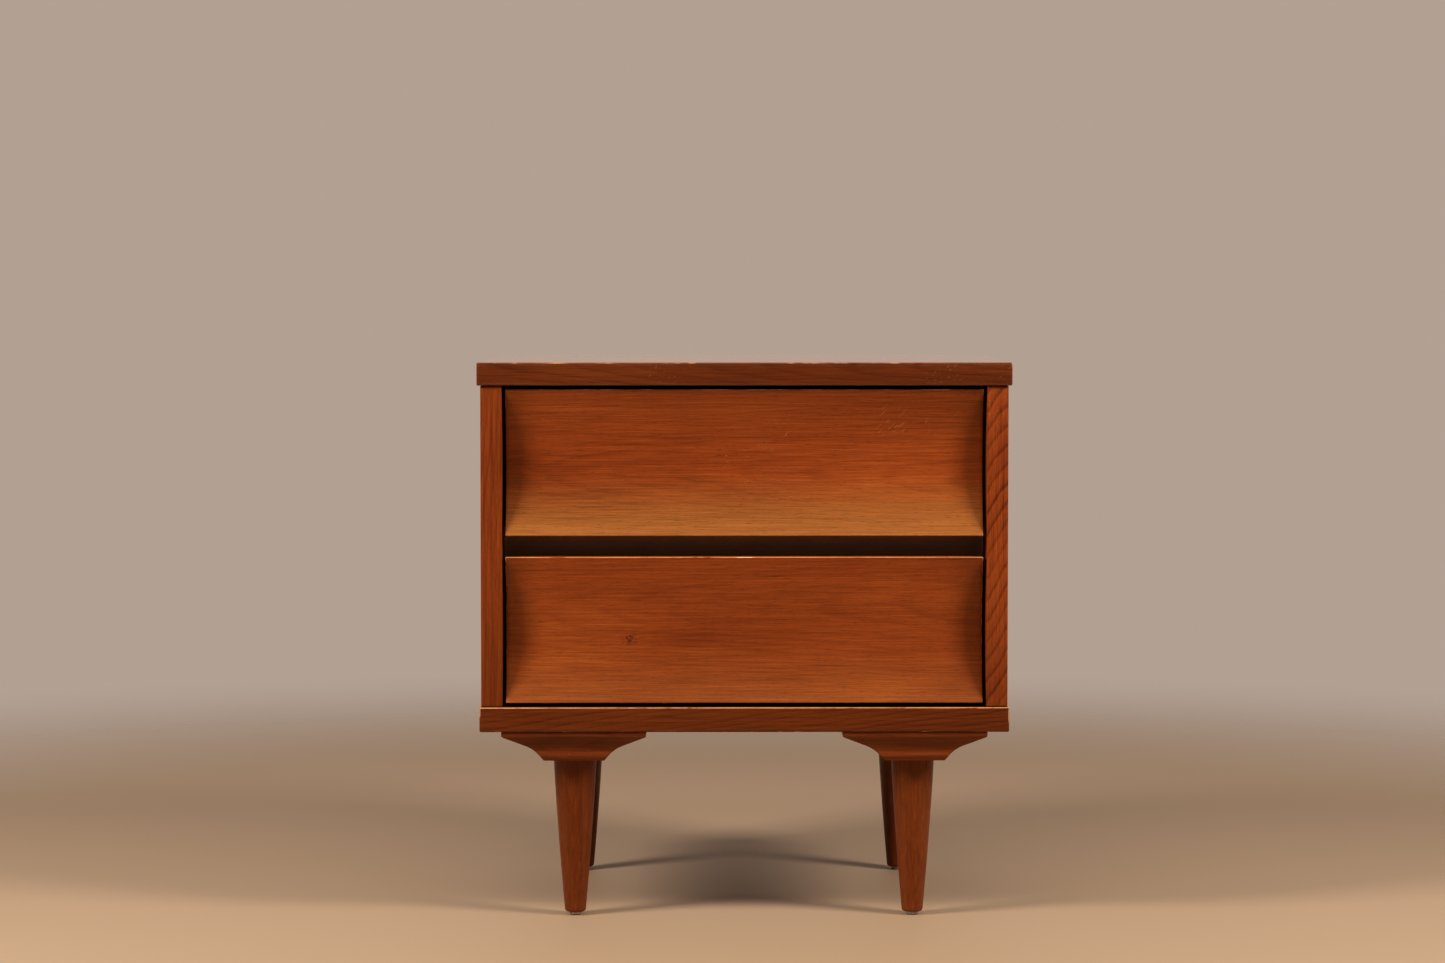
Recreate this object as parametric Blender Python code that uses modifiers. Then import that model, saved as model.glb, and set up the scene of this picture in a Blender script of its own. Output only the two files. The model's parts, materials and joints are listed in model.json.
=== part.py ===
"""Two-drawer nightstand with scooped drawer fronts, jointed as a cabinet maker would joint it.

The origin is on the floor below the middle of the nightstand. +Z is up, +X is to the right of
someone facing it, and the drawers open towards -Y. Every length is in metres.
"""

import math

import bmesh
import bpy
from mathutils import Matrix, Vector

# Overall size
WIDTH = 0.5588
DEPTH = 0.4064
HEIGHT = 0.5874
GAP = 0.0003  # between pieces that touch
EASED = 0.0008  # radius of an eased edge
MERGE = 1e-5  # points nearer than this are one point

# Case
TOP_THICK = 0.024
TOP_ROUND = 0.0015
CASE_WIDTH = 0.5514
CASE_DEPTH = 0.3996
SIDE_THICK = 0.0222
OPENING_HEIGHT = 0.337  # between the base and the top
BASE_THICK = 0.026
BASE_WIDTH = 0.555
BASE_DEPTH = 0.4038

TOP_UNDERSIDE = HEIGHT - TOP_THICK
BASE_TOP = TOP_UNDERSIDE - OPENING_HEIGHT
BASE_UNDERSIDE = BASE_TOP - BASE_THICK
INNER_HALF = CASE_WIDTH / 2 - SIDE_THICK

# Back panel and the rabbet that holds it
BACK_THICK = 0.005
RABBET_WIDTH = 0.008
RABBET_DEPTH = 0.0057
BACK_SCREWS_PER_SIDE = 3
BACK_SCREW_END_SPACE = 0.03

# Drawer fronts: a panel of even thickness, bent to an arc
FRONT_WIDTH = 0.5
FRONT_HEIGHT = 0.1536
FRONT_THICK = 0.016
FRONT_INSET = 0.001  # of the lips, behind the front edges of the sides
END_REVEAL = 0.004  # above the upper front and below the lower one
SCOOP_DEPTH = 0.0165
SCOOP_STEPS = 14
SCOOP_RADIUS = ((FRONT_HEIGHT / 2) ** 2 + SCOOP_DEPTH**2) / (2 * SCOOP_DEPTH)
LIP_Y = FRONT_INSET - CASE_DEPTH / 2
UPPER_Z = TOP_UNDERSIDE - END_REVEAL - FRONT_HEIGHT / 2
LOWER_Z = BASE_TOP + END_REVEAL + FRONT_HEIGHT / 2

# Drawer boxes, measured from the middle of the front's height and back from its lips
BOX_WIDTH = 0.495
BOX_HEIGHT = 0.13
BOX_LENGTH = 0.3488
BOX_BOARD = 0.0127
BOX_HALF = BOX_WIDTH / 2
BOX_INNER_HALF = BOX_HALF - BOX_BOARD
TONGUE_LENGTH = 0.005
TONGUE_THICK = 0.0064
PANEL_THICK = 0.0048
PANEL_RISE = 0.01  # of the bottom panel above the lower edge of the sides
GROOVE_DEPTH = 0.005
BACK_HOUSING = 0.004
BACK_INSET = 0.008
BACK_FACE = BOX_LENGTH - BACK_INSET
PANEL_LOW = PANEL_RISE - BOX_HEIGHT / 2
PANEL_HIGH = PANEL_LOW + PANEL_THICK

# Rails, runners and kickers inside the case
RAIL_THICK = 0.018
RAIL_HEIGHT = 0.038
RAIL_FRONT = 0.044 - DEPTH / 2
RAIL_BACK = RAIL_FRONT + RAIL_THICK
REAR_RAIL_FRONT = 0.172
RUNNER_WIDTH = 0.025
RUNNER_HEIGHT = 0.022
KICKER_HEIGHT = 0.0136
KICKER_FRONT = -0.155
KICKER_BACK = 0.185

# Nylon tacks that the drawer sides slide over
TACK_RADIUS = 0.007
TACK_FLAT = 0.7  # radius of the flat top, as a share of the head's
TACK_HEAD = 0.0031
TACK_NAIL = 0.009
TACK_NAIL_RADIUS = 0.0011
RAIL_DROP = TACK_HEAD + 2 * GAP  # of a front rail below the drawer sides

# Centre guide and the shoe that straddles it
GUIDE_WIDTH = 0.019
GUIDE_HEIGHT = 0.022
GUIDE_RISE = 0.0065  # of the guide's top above the lower edge of the drawer sides
SHOE_WIDTH = 0.06
SHOE_THICK = 0.012
SHOE_REACH = 0.018  # of the shoe's legs below the guide's top
SHOE_RISE = 0.03  # of the shoe's body above the guide's top
SHOE_PLAY = 0.0008
SHOE_SCREW_X = 0.021
SHOE_SCREW_RISE = 0.0205

# Screws
SCREW_HEAD_RADIUS = 0.0032
SCREW_HEAD_HEIGHT = 0.0012
SCREW_DOME = (0.6, 0.8)  # a point on the domed head, as shares of its radius and height
SCREW_RADIUS = 0.0015
SCREW_POINT = 2 * SCREW_RADIUS
BACK_SCREW_LENGTH = 0.016
SHOE_SCREW_LENGTH = 0.02
HOLE_PLAY = 0.0003

# Leg blocks
BLOCK_WIDTH = 0.152
BLOCK_DEPTH = 0.095
BLOCK_HEIGHT = 0.031
BLOCK_SIDE_RUN = 0.0445  # how far the moulding draws in on the left and right
BLOCK_FRONT_RUN = 0.009  # and on the front and back

# Points on the block's moulding: how far in and how far down, as shares of the whole
FILLET_END = (0, 0.14)
NOSE_CORNER = (0, 0.17)
NOSE_END = (0.05, 0.20)
SLOPE_END = (0.56, 0.50)
COVE_CORNER = (0.80, 0.64)
COVE_END = (0.95, 0.93)
TOE_CORNER = (0.98, 0.99)

# The same moulding on the front and back, as (down, in). It draws in fast under the nose, leans
# out again below the cove, and rounds under at the toe.
FRONT_MOULDING = ((0, 0), (0.14, 0), (0.20, 0.10), (0.50, 0.85), (0.62, 1), (0.86, 0.75), (1, 1))

# Legs
LEG_X = 0.179
LEG_Y = 0.1524
LEG_TOP_RADIUS = 0.02285
LEG_FOOT_RADIUS = 0.0113
LEG_SWELL = 0.0029  # how far the taper bows out from a straight cone
LEG_FOOT_ROUND = 0.003
LEG_STEPS = 8
BORE_POINT_PLAY = 0.0005  # below the end of a bolt or nail
BLOCK_TOP = BASE_UNDERSIDE - GAP
LEG_TOP = BLOCK_TOP - BLOCK_HEIGHT - GAP

# Hanger bolts and glides
BOLT_RADIUS = 0.004
BOLT_IN_LEG = 0.025
BOLT_IN_BASE = 0.012
GLIDE_HEAD = 0.003
GLIDE_RADIUS = 0.006
GLIDE_FLAT_RADIUS = 0.0045
GLIDE_NAIL = 0.012
GLIDE_NAIL_RADIUS = 0.0012

SIDES = (("left", -1), ("right", 1))
ENDS = (("front", -1), ("rear", 1))
TURN_STEPS = 24
SMALL_TURN_STEPS = 12
HOLE_STEPS = 12
COVE_STEPS = 5
ROUND_STEPS = 3
SMOOTH_ANGLE = math.radians(30)
FLAT_ANGLE = math.radians(0.2)  # faces that differ by less lie in one plane

# A drawn outline lies in local XY. These turn its thickness to face along X or Y.
ALONG_X = Matrix.Rotation(math.pi / 2, 4, "Z") @ Matrix.Rotation(math.pi / 2, 4, "X")
ALONG_Y = Matrix.Rotation(math.pi / 2, 4, "X")
HEAD_TO_BACK = (-math.pi / 2, 0, 0)  # turns a screw's head to face +Y

# Slot: colour, roughness, metallic
FINISHES = {
    "walnut_top": ((0.30, 0.115, 0.045), 0.35, 0.0),
    "walnut_side": ((0.28, 0.105, 0.040), 0.38, 0.0),
    "walnut_front": ((0.34, 0.120, 0.038), 0.36, 0.0),
    "walnut_leg": ((0.26, 0.095, 0.036), 0.38, 0.0),
    "stained_rail": ((0.030, 0.016, 0.010), 0.55, 0.0),
    "frame_wood": ((0.42, 0.28, 0.16), 0.65, 0.0),
    "drawer_wood": ((0.55, 0.38, 0.22), 0.55, 0.0),
    "drawer_plywood": ((0.60, 0.44, 0.27), 0.6, 0.0),
    "back_board": ((0.32, 0.20, 0.11), 0.7, 0.0),
    "bolt_steel": ((0.45, 0.45, 0.44), 0.35, 1.0),
    "screw_brass": ((0.62, 0.47, 0.22), 0.35, 1.0),
    "glide_steel": ((0.55, 0.54, 0.52), 0.3, 1.0),
    "nylon": ((0.85, 0.84, 0.80), 0.4, 0.0),
}


def clear_scene():
    for old in list(bpy.data.objects):
        bpy.data.objects.remove(old)


def new_collection(name):
    made = bpy.data.collections.new(name)
    bpy.context.scene.collection.children.link(made)
    return made


def finish(slot):
    """The material of one slot, made the first time that it is asked for."""
    if slot in bpy.data.materials:
        return bpy.data.materials[slot]
    colour, roughness, metallic = FINISHES[slot]
    material = bpy.data.materials.new(slot)
    material.use_nodes = True
    shader = material.node_tree.nodes["Principled BSDF"]
    shader.inputs["Base Color"].default_value = (*colour, 1)
    shader.inputs["Roughness"].default_value = roughness
    shader.inputs["Metallic"].default_value = metallic
    return material


def add_piece(name, mesh, slot, parent=None):
    piece = bpy.data.objects.new(name, mesh)
    mesh.materials.append(finish(slot))
    piece.parent = parent
    PARTS.objects.link(piece)
    return piece


def add_cutter(name, mesh, parent=None):
    cutter = bpy.data.objects.new(name, mesh)
    cutter.hide_render = True
    cutter.display_type = "WIRE"
    cutter.parent = parent
    CUTTERS.objects.link(cutter)
    return cutter


def cut(piece, cutter):
    boolean = piece.modifiers.new(cutter.name, "BOOLEAN")
    boolean.operation = "DIFFERENCE"
    boolean.object = cutter


def ease(piece, radius, segments=2):
    bevel = piece.modifiers.new("eased_edges", "BEVEL")
    bevel.width = radius
    bevel.segments = segments
    bevel.limit_method = "ANGLE"
    bevel.angle_limit = SMOOTH_ANGLE


def box_mesh(name, low, high):
    """A box between two corners, with its origin at the parent's."""
    low, high = Vector(low), Vector(high)
    box = bmesh.new()
    bmesh.ops.create_cube(box, size=1)
    bmesh.ops.scale(box, vec=high - low, verts=box.verts)
    bmesh.ops.translate(box, vec=(low + high) / 2, verts=box.verts)
    mesh = bpy.data.meshes.new(name)
    box.to_mesh(mesh)
    box.free()
    return mesh


def board(name, low, high, slot, parent=None, radius=EASED):
    piece = add_piece(name, box_mesh(name, low, high), slot, parent)
    ease(piece, radius)
    return piece


def box_cutter(name, low, high, parent=None):
    return add_cutter(name, box_mesh(name, low, high), parent)


def rod_cutter(name, radius, start, length, turn=(0, 0, 0), parent=None):
    """A round cutter from start, length long, along its own +Z."""
    rod = bmesh.new()
    bmesh.ops.create_cone(
        rod, cap_ends=True, segments=HOLE_STEPS, radius1=radius, radius2=radius, depth=length
    )
    bmesh.ops.translate(rod, vec=(0, 0, length / 2), verts=rod.verts)
    mesh = bpy.data.meshes.new(name)
    rod.to_mesh(mesh)
    rod.free()
    cutter = add_cutter(name, mesh, parent)
    cutter.location = start
    cutter.rotation_euler = turn
    return cutter


def outline_mesh(name, outline, thickness, turn, middle=(0, 0, 0)):
    """A flat outline given thickness, turned, and moved to its middle, as a closed mesh."""
    curve = bpy.data.curves.new(name, "CURVE")
    curve.dimensions = "2D"
    curve.fill_mode = "BOTH"
    curve.extrude = thickness / 2
    spline = curve.splines.new("POLY")
    spline.points.add(len(outline) - 1)
    for point, (across, up) in zip(spline.points, outline):
        point.co = (across, up, 0, 1)
    spline.use_cyclic_u = True
    drawn = bpy.data.objects.new(name, curve)
    bpy.context.scene.collection.objects.link(drawn)
    graph = bpy.context.evaluated_depsgraph_get()
    mesh = bpy.data.meshes.new_from_object(drawn.evaluated_get(graph))
    bpy.data.objects.remove(drawn)
    bpy.data.curves.remove(curve)
    solid = bmesh.new()
    solid.from_mesh(mesh)
    bmesh.ops.remove_doubles(solid, verts=solid.verts, dist=MERGE)
    bmesh.ops.dissolve_limit(
        solid, angle_limit=FLAT_ANGLE, verts=solid.verts, edges=solid.edges
    )
    bmesh.ops.recalc_face_normals(solid, faces=solid.faces)
    solid.to_mesh(mesh)
    solid.free()
    mesh.transform(Matrix.Translation(middle) @ turn)
    return mesh


def turned(name, profile, slot, location, turn=(0, 0, 0), steps=TURN_STEPS, parent=None):
    """A lathe-turned piece. The profile is (radius, height) points that end on the axis."""
    mesh = bpy.data.meshes.new(name)
    points = [(radius, 0, height) for radius, height in profile]
    mesh.from_pydata(points, [(i, i + 1) for i in range(len(points) - 1)], [])
    piece = add_piece(name, mesh, slot, parent)
    screw = piece.modifiers.new("turning", "SCREW")
    screw.steps = steps
    screw.render_steps = steps
    screw.use_merge_vertices = True
    screw.merge_threshold = MERGE
    piece.location = location
    piece.rotation_euler = turn
    return piece


def round_corner(start, corner, end, steps=ROUND_STEPS):
    """Points after start on a smooth curve that cuts the corner on its way to end."""
    start, corner, end = Vector(start), Vector(corner), Vector(end)
    for i in range(1, steps + 1):
        t = i / steps
        yield tuple(start.lerp(corner, t).lerp(corner.lerp(end, t), t))


def case_panels():
    half_width, half_depth = WIDTH / 2, DEPTH / 2
    board(
        "top_panel",
        (-half_width, -half_depth, TOP_UNDERSIDE),
        (half_width, half_depth, HEIGHT),
        "walnut_top",
        radius=TOP_ROUND,
    )
    board(
        "base_panel",
        (-BASE_WIDTH / 2, -BASE_DEPTH / 2, BASE_UNDERSIDE),
        (BASE_WIDTH / 2, BASE_DEPTH / 2, BASE_TOP),
        "walnut_top",
        radius=TOP_ROUND,
    )
    for side, sign in SIDES:
        inner, outer = sorted((sign * INNER_HALF, sign * CASE_WIDTH / 2))
        board(
            f"{side}_side_panel",
            (inner, -CASE_DEPTH / 2, BASE_TOP + GAP),
            (outer, CASE_DEPTH / 2, TOP_UNDERSIDE - GAP),
            "walnut_side",
        )


def back_panel():
    """The back board, let into a rabbet along each side and held by screws."""
    reach = INNER_HALF + RABBET_WIDTH
    front_face = CASE_DEPTH / 2 - RABBET_DEPTH + GAP
    rear_face = front_face + BACK_THICK
    back = board(
        "back_panel",
        (GAP - reach, front_face, BASE_TOP + GAP),
        (reach - GAP, rear_face, TOP_UNDERSIDE - GAP),
        "back_board",
        radius=EASED / 2,
    )
    rise = OPENING_HEIGHT / 2 - BACK_SCREW_END_SPACE
    middle = BASE_TOP + OPENING_HEIGHT / 2
    for side, sign in SIDES:
        panel = PARTS.objects[f"{side}_side_panel"]
        near, far = sorted((sign * (INNER_HALF - GAP), sign * reach))
        rabbet = box_cutter(
            f"{side}_rabbet",
            (near, CASE_DEPTH / 2 - RABBET_DEPTH, BASE_TOP - GAP),
            (far, CASE_DEPTH / 2 + GAP, TOP_UNDERSIDE + GAP),
        )
        cut(panel, rabbet)
        for i in range(BACK_SCREWS_PER_SIDE):
            height = middle + rise * (2 * i / (BACK_SCREWS_PER_SIDE - 1) - 1)
            seat = (sign * (INNER_HALF + RABBET_WIDTH / 2), rear_face + GAP, height)
            hole = screw(f"back_screw_{side}_{i + 1}", seat, BACK_SCREW_LENGTH)
            cut(back, hole)
            cut(panel, hole)


def screw(name, seat, length, parent=None):
    """A round-head screw with its head facing +Y, and the cutter of its hole."""
    profile = [
        (0, SCREW_HEAD_HEIGHT),
        (SCREW_HEAD_RADIUS * SCREW_DOME[0], SCREW_HEAD_HEIGHT * SCREW_DOME[1]),
        (SCREW_HEAD_RADIUS, 0),
        (SCREW_RADIUS, 0),
        (SCREW_RADIUS, SCREW_POINT - length),
        (0, -length),
    ]
    turned(name, profile, "screw_brass", seat, HEAD_TO_BACK, SMALL_TURN_STEPS, parent)
    start = Vector(seat) - Vector((0, length + HOLE_PLAY, 0))
    return rod_cutter(
        f"{name}_hole",
        SCREW_RADIUS + HOLE_PLAY,
        start,
        length + SCREW_HEAD_HEIGHT,
        HEAD_TO_BACK,
        parent,
    )


def divider_rails():
    """The web frame between the drawers, and the low rail in front of the lower one."""
    top = UPPER_Z - BOX_HEIGHT / 2 - RAIL_DROP
    span = INNER_HALF - GAP
    upper = board(
        "front_divider_rail",
        (-span, RAIL_FRONT, top - RAIL_HEIGHT),
        (span, RAIL_BACK, top),
        "stained_rail",
    )
    board(
        "rear_divider_rail",
        (-span, REAR_RAIL_FRONT, top - RAIL_HEIGHT),
        (span, REAR_RAIL_FRONT + RAIL_THICK, top),
        "frame_wood",
    )
    low_top = LOWER_Z - BOX_HEIGHT / 2 - RAIL_DROP
    lower = board(
        "lower_front_rail",
        (-span, RAIL_FRONT, BASE_TOP + GAP),
        (span, RAIL_BACK, low_top),
        "frame_wood",
    )
    for side, sign in SIDES:
        tack(f"upper_{side}_tack", sign, upper, top)
        tack(f"lower_{side}_tack", sign, lower, low_top)


def tack(name, sign, rail, rail_top):
    """A nylon tack nailed into the top of a front rail, below one drawer side."""
    seat = (sign * (BOX_HALF - BOX_BOARD / 2), RAIL_FRONT + RAIL_THICK / 2, rail_top + GAP)
    profile = [
        (0, TACK_HEAD),
        (TACK_RADIUS * TACK_FLAT, TACK_HEAD),
        (TACK_RADIUS, TACK_HEAD / 2),
        (TACK_RADIUS, 0),
        (TACK_NAIL_RADIUS, 0),
        (TACK_NAIL_RADIUS, TACK_NAIL_RADIUS * 2 - TACK_NAIL),
        (0, -TACK_NAIL),
    ]
    turned(name, profile, "nylon", seat, steps=SMALL_TURN_STEPS)
    start = Vector(seat) - Vector((0, 0, TACK_NAIL + HOLE_PLAY))
    cut(rail, rod_cutter(f"{name}_hole", TACK_NAIL_RADIUS + HOLE_PLAY, start, TACK_NAIL * 2))


def runners_and_guides():
    """The strips that carry, steady and hold down the drawers."""
    front, back = RAIL_BACK + GAP, REAR_RAIL_FRONT - GAP
    levels = {
        "upper": (UPPER_Z, UPPER_Z - BOX_HEIGHT / 2 - RUNNER_HEIGHT),
        "lower": (LOWER_Z, BASE_TOP + GAP),
    }
    for level, (middle, underside) in levels.items():
        box_bottom = middle - BOX_HEIGHT / 2
        for side, sign in SIDES:
            near, far = sorted((sign * (INNER_HALF - RUNNER_WIDTH), sign * (INNER_HALF - GAP)))
            board(
                f"{level}_{side}_runner",
                (near, front, underside),
                (far, back, box_bottom - GAP),
                "frame_wood",
            )
        guide_top = box_bottom + GUIDE_RISE
        board(
            f"{level}_center_guide",
            (-GUIDE_WIDTH / 2, front, max(guide_top - GUIDE_HEIGHT, BASE_TOP + GAP)),
            (GUIDE_WIDTH / 2, back, guide_top),
            "frame_wood",
        )
    for side, sign in SIDES:
        near, far = sorted((sign * (INNER_HALF - RUNNER_WIDTH), sign * (INNER_HALF - GAP)))
        board(
            f"{side}_kicker",
            (near, KICKER_FRONT, TOP_UNDERSIDE - GAP - KICKER_HEIGHT),
            (far, KICKER_BACK, TOP_UNDERSIDE - GAP),
            "frame_wood",
        )


def scoop_y(height, offset):
    """How far behind the lips the bent panel lies at a height, offset back from its face."""
    return SCOOP_DEPTH - SCOOP_RADIUS + math.sqrt((SCOOP_RADIUS + offset) ** 2 - height**2)


def scoop_arc(low, high, offset):
    """Points (y, z) up the arc at an offset from the scooped face."""
    for i in range(SCOOP_STEPS + 1):
        height = low + (high - low) * i / SCOOP_STEPS
        yield scoop_y(height, offset), height


def drawer(level, middle):
    """One drawer, on an empty that lies on its slide's axis."""
    slide = bpy.data.objects.new(f"{level}_drawer_slide", None)
    slide.location = (0, LIP_Y, middle)
    PARTS.objects.link(slide)
    front = drawer_front(level, slide)
    back = drawer_back(level, slide)
    groove = panel_groove(level, slide)
    cut(front, groove)
    for side, sign in SIDES:
        board_side = drawer_side(level, side, sign, slide)
        cut(front, side_slot(level, side, sign, slide))
        cut(board_side, groove)
        cut(board_side, back_housing(level, side, sign, slide))
    drawer_bottom(level, slide)
    guide_shoe(level, back, slide)


def drawer_front(level, slide):
    """The bent panel: its lips are cut level, and its face and back are arcs."""
    half = FRONT_HEIGHT / 2
    face = list(scoop_arc(-half, half, 0))
    rear = list(scoop_arc(-half, half, FRONT_THICK))
    name = f"{level}_front"
    mesh = outline_mesh(name, face + rear[::-1], FRONT_WIDTH, ALONG_X)
    front = add_piece(name, mesh, "walnut_front", slide)
    ease(front, EASED)
    return front


def drawer_side(level, side, sign, slide):
    """A side whose front end follows the bent panel, with a tongue that slots into it."""
    half = BOX_HEIGHT / 2
    tongue_end = FRONT_THICK - TONGUE_LENGTH + GAP
    outline = list(scoop_arc(-half, half, tongue_end))
    outline += [(BOX_LENGTH, half), (BOX_LENGTH, -half)]
    name = f"{level}_drawer_{side}_side"
    middle = (sign * (BOX_HALF - BOX_BOARD / 2), 0, 0)
    mesh = outline_mesh(name, outline, BOX_BOARD, ALONG_X, middle)
    piece = add_piece(name, mesh, "drawer_wood", slide)
    ease(piece, EASED)
    shoulder = list(scoop_arc(-half - GAP, half + GAP, FRONT_THICK + GAP))
    shoulder += [(0, half + GAP), (0, -half - GAP)]
    cut_thick = BOX_BOARD - TONGUE_THICK
    cut_middle = (sign * (BOX_HALF + GAP - cut_thick / 2), 0, 0)
    cutter_name = f"{name}_shoulder"
    shape = outline_mesh(cutter_name, shoulder, cut_thick + 2 * GAP, ALONG_X, cut_middle)
    cut(piece, add_cutter(cutter_name, shape, slide))
    return piece


def side_slot(level, side, sign, slide):
    """The slot in the back of the front that takes a side's tongue, open at the lower lip."""
    low, high = -FRONT_HEIGHT / 2 - EASED, BOX_HEIGHT / 2 + GAP
    behind = SCOOP_DEPTH + FRONT_THICK + EASED
    outline = list(scoop_arc(low, high, FRONT_THICK - TONGUE_LENGTH))
    outline += [(behind, high), (behind, low)]
    name = f"{level}_{side}_slot"
    middle = (sign * (BOX_INNER_HALF + TONGUE_THICK / 2), 0, 0)
    mesh = outline_mesh(name, outline, TONGUE_THICK + 2 * GAP, ALONG_X, middle)
    return add_cutter(name, mesh, slide)


def panel_groove(level, slide):
    """The groove round the inside of the drawer that holds its bottom panel."""
    reach = BOX_INNER_HALF + GROOVE_DEPTH
    return box_cutter(
        f"{level}_groove",
        (-reach, groove_end(), PANEL_LOW - GAP),
        (reach, BOX_LENGTH + GAP, PANEL_HIGH + GAP),
        slide,
    )


def groove_end():
    return scoop_y(PANEL_LOW, FRONT_THICK) - GROOVE_DEPTH


def back_housing(level, side, sign, slide):
    """The housing in a side that takes the end of the drawer back."""
    near, far = sorted((sign * (BOX_INNER_HALF - GAP), sign * (BOX_INNER_HALF + BACK_HOUSING)))
    return box_cutter(
        f"{level}_{side}_housing",
        (near, BACK_FACE - BOX_BOARD - GAP, PANEL_LOW),
        (far, BACK_FACE + GAP, BOX_HEIGHT / 2 + GAP),
        slide,
    )


def drawer_back(level, slide):
    reach = BOX_INNER_HALF + BACK_HOUSING - GAP
    return board(
        f"{level}_drawer_back",
        (-reach, BACK_FACE - BOX_BOARD, PANEL_HIGH + GAP),
        (reach, BACK_FACE, BOX_HEIGHT / 2),
        "drawer_wood",
        slide,
    )


def drawer_bottom(level, slide):
    """The bottom panel, held in the groove and passing under the back."""
    reach = BOX_INNER_HALF + GROOVE_DEPTH - GAP
    board(
        f"{level}_drawer_bottom",
        (-reach, groove_end() + GAP, PANEL_LOW),
        (reach, BACK_FACE, PANEL_HIGH),
        "drawer_plywood",
        slide,
        radius=EASED / 2,
    )


def guide_shoe(level, back, slide):
    """The U-shaped shoe on the drawer back, whose legs straddle the centre guide."""
    guide_top = GUIDE_RISE - BOX_HEIGHT / 2
    half, slot = SHOE_WIDTH / 2, GUIDE_WIDTH / 2 + SHOE_PLAY
    low, high = guide_top - SHOE_REACH, guide_top + SHOE_RISE
    bridge = guide_top + SHOE_PLAY
    outline = [(-half, low), (-slot, low), (-slot, bridge), (slot, bridge)]
    outline += [(slot, low), (half, low), (half, high), (-half, high)]
    name = f"{level}_guide_shoe"
    middle = (0, BACK_FACE + GAP + SHOE_THICK / 2, 0)
    mesh = outline_mesh(name, outline, SHOE_THICK, ALONG_Y, middle)
    shoe = add_piece(name, mesh, "frame_wood", slide)
    ease(shoe, EASED)
    for side, sign in SIDES:
        rear = BACK_FACE + SHOE_THICK + 2 * GAP
        seat = (sign * SHOE_SCREW_X, rear, guide_top + SHOE_SCREW_RISE)
        hole = screw(f"{level}_shoe_screw_{side}", seat, SHOE_SCREW_LENGTH, slide)
        cut(shoe, hole)
        cut(back, hole)


def leg_sets():
    base = PARTS.objects["base_panel"]
    for end, end_sign in ENDS:
        for side, sign in SIDES:
            place = f"{end}_{side}"
            x, y = sign * LEG_X, end_sign * LEG_Y
            block = leg_block(f"{place}_leg_block", x, y)
            start = (x, y, LEG_TOP - GAP)
            length = BASE_UNDERSIDE + BOLT_IN_BASE + BORE_POINT_PLAY - start[2]
            hole = rod_cutter(f"{place}_bolt_hole", BOLT_RADIUS + HOLE_PLAY, start, length)
            cut(block, hole)
            cut(base, hole)
            leg(f"{place}_leg", x, y)
            hanger_bolt(f"{place}_hanger_bolt", x, y)
            glide(f"{place}_glide", x, y)


def block_moulding():
    """The block's moulding from top to bottom: a fillet, a nose, a slope, a cove and a toe."""
    yield 0, 0
    yield FILLET_END
    yield from round_corner(FILLET_END, NOSE_CORNER, NOSE_END)
    yield SLOPE_END
    yield from round_corner(SLOPE_END, COVE_CORNER, COVE_END, COVE_STEPS)
    yield from round_corner(COVE_END, TOE_CORNER, (1, 1))


def front_inward(down):
    """How far in the front moulding is at a height on the block, both as shares."""
    for (above, start), (below, end) in zip(FRONT_MOULDING, FRONT_MOULDING[1:]):
        if down <= below:
            return start + (end - start) * (down - above) / (below - above)


def leg_block(name, x, y):
    """A block whose moulding draws in from the base to the leg on all four sides."""
    rings = list(block_moulding())
    spans = len(rings) - 1
    block = bmesh.new()
    bmesh.ops.create_cube(block, size=1)
    uprights = [e for e in block.edges if abs(e.verts[0].co.z - e.verts[1].co.z) > 0.5]
    bmesh.ops.subdivide_edges(block, edges=uprights, cuts=spans - 1, use_grid_fill=True)
    for vert in block.verts:
        inward, down = rings[round((0.5 - vert.co.z) * spans)]
        half_x = BLOCK_WIDTH / 2 - inward * BLOCK_SIDE_RUN
        half_y = BLOCK_DEPTH / 2 - front_inward(down) * BLOCK_FRONT_RUN
        vert.co.x = math.copysign(half_x, vert.co.x)
        vert.co.y = math.copysign(half_y, vert.co.y)
        vert.co.z = -down * BLOCK_HEIGHT
    mesh = bpy.data.meshes.new(name)
    block.to_mesh(mesh)
    block.free()
    piece = add_piece(name, mesh, "walnut_leg")
    piece.location = (x, y, BLOCK_TOP)
    return piece


def leg_radius(t):
    """The leg's radius from its top, where t is 0, to its foot, where t is 1."""
    straight = LEG_TOP_RADIUS + (LEG_FOOT_RADIUS - LEG_TOP_RADIUS) * t
    return straight + LEG_SWELL * t * (1 - t)


def leg(name, x, y):
    """A turned leg, bored at the top for its bolt and at the foot for the glide's nail."""
    foot = GLIDE_HEAD + GAP
    taper_end = foot + LEG_FOOT_ROUND
    bore = BOLT_RADIUS + HOLE_PLAY
    bore_end = LEG_TOP - BOLT_IN_LEG - BORE_POINT_PLAY
    nail_hole = GLIDE_NAIL_RADIUS + HOLE_PLAY
    nail_end = foot + GLIDE_NAIL + BORE_POINT_PLAY
    profile = [(0, bore_end), (bore, bore_end), (bore, LEG_TOP)]
    for i in range(LEG_STEPS + 1):
        t = i / LEG_STEPS
        profile.append((leg_radius(t), LEG_TOP + (taper_end - LEG_TOP) * t))
    rim = (LEG_FOOT_RADIUS - LEG_FOOT_ROUND, foot)
    profile += round_corner(profile[-1], (LEG_FOOT_RADIUS, foot), rim)
    profile += [(nail_hole, foot), (nail_hole, nail_end), (0, nail_end)]
    turned(name, profile, "walnut_leg", (x, y, 0))


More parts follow.
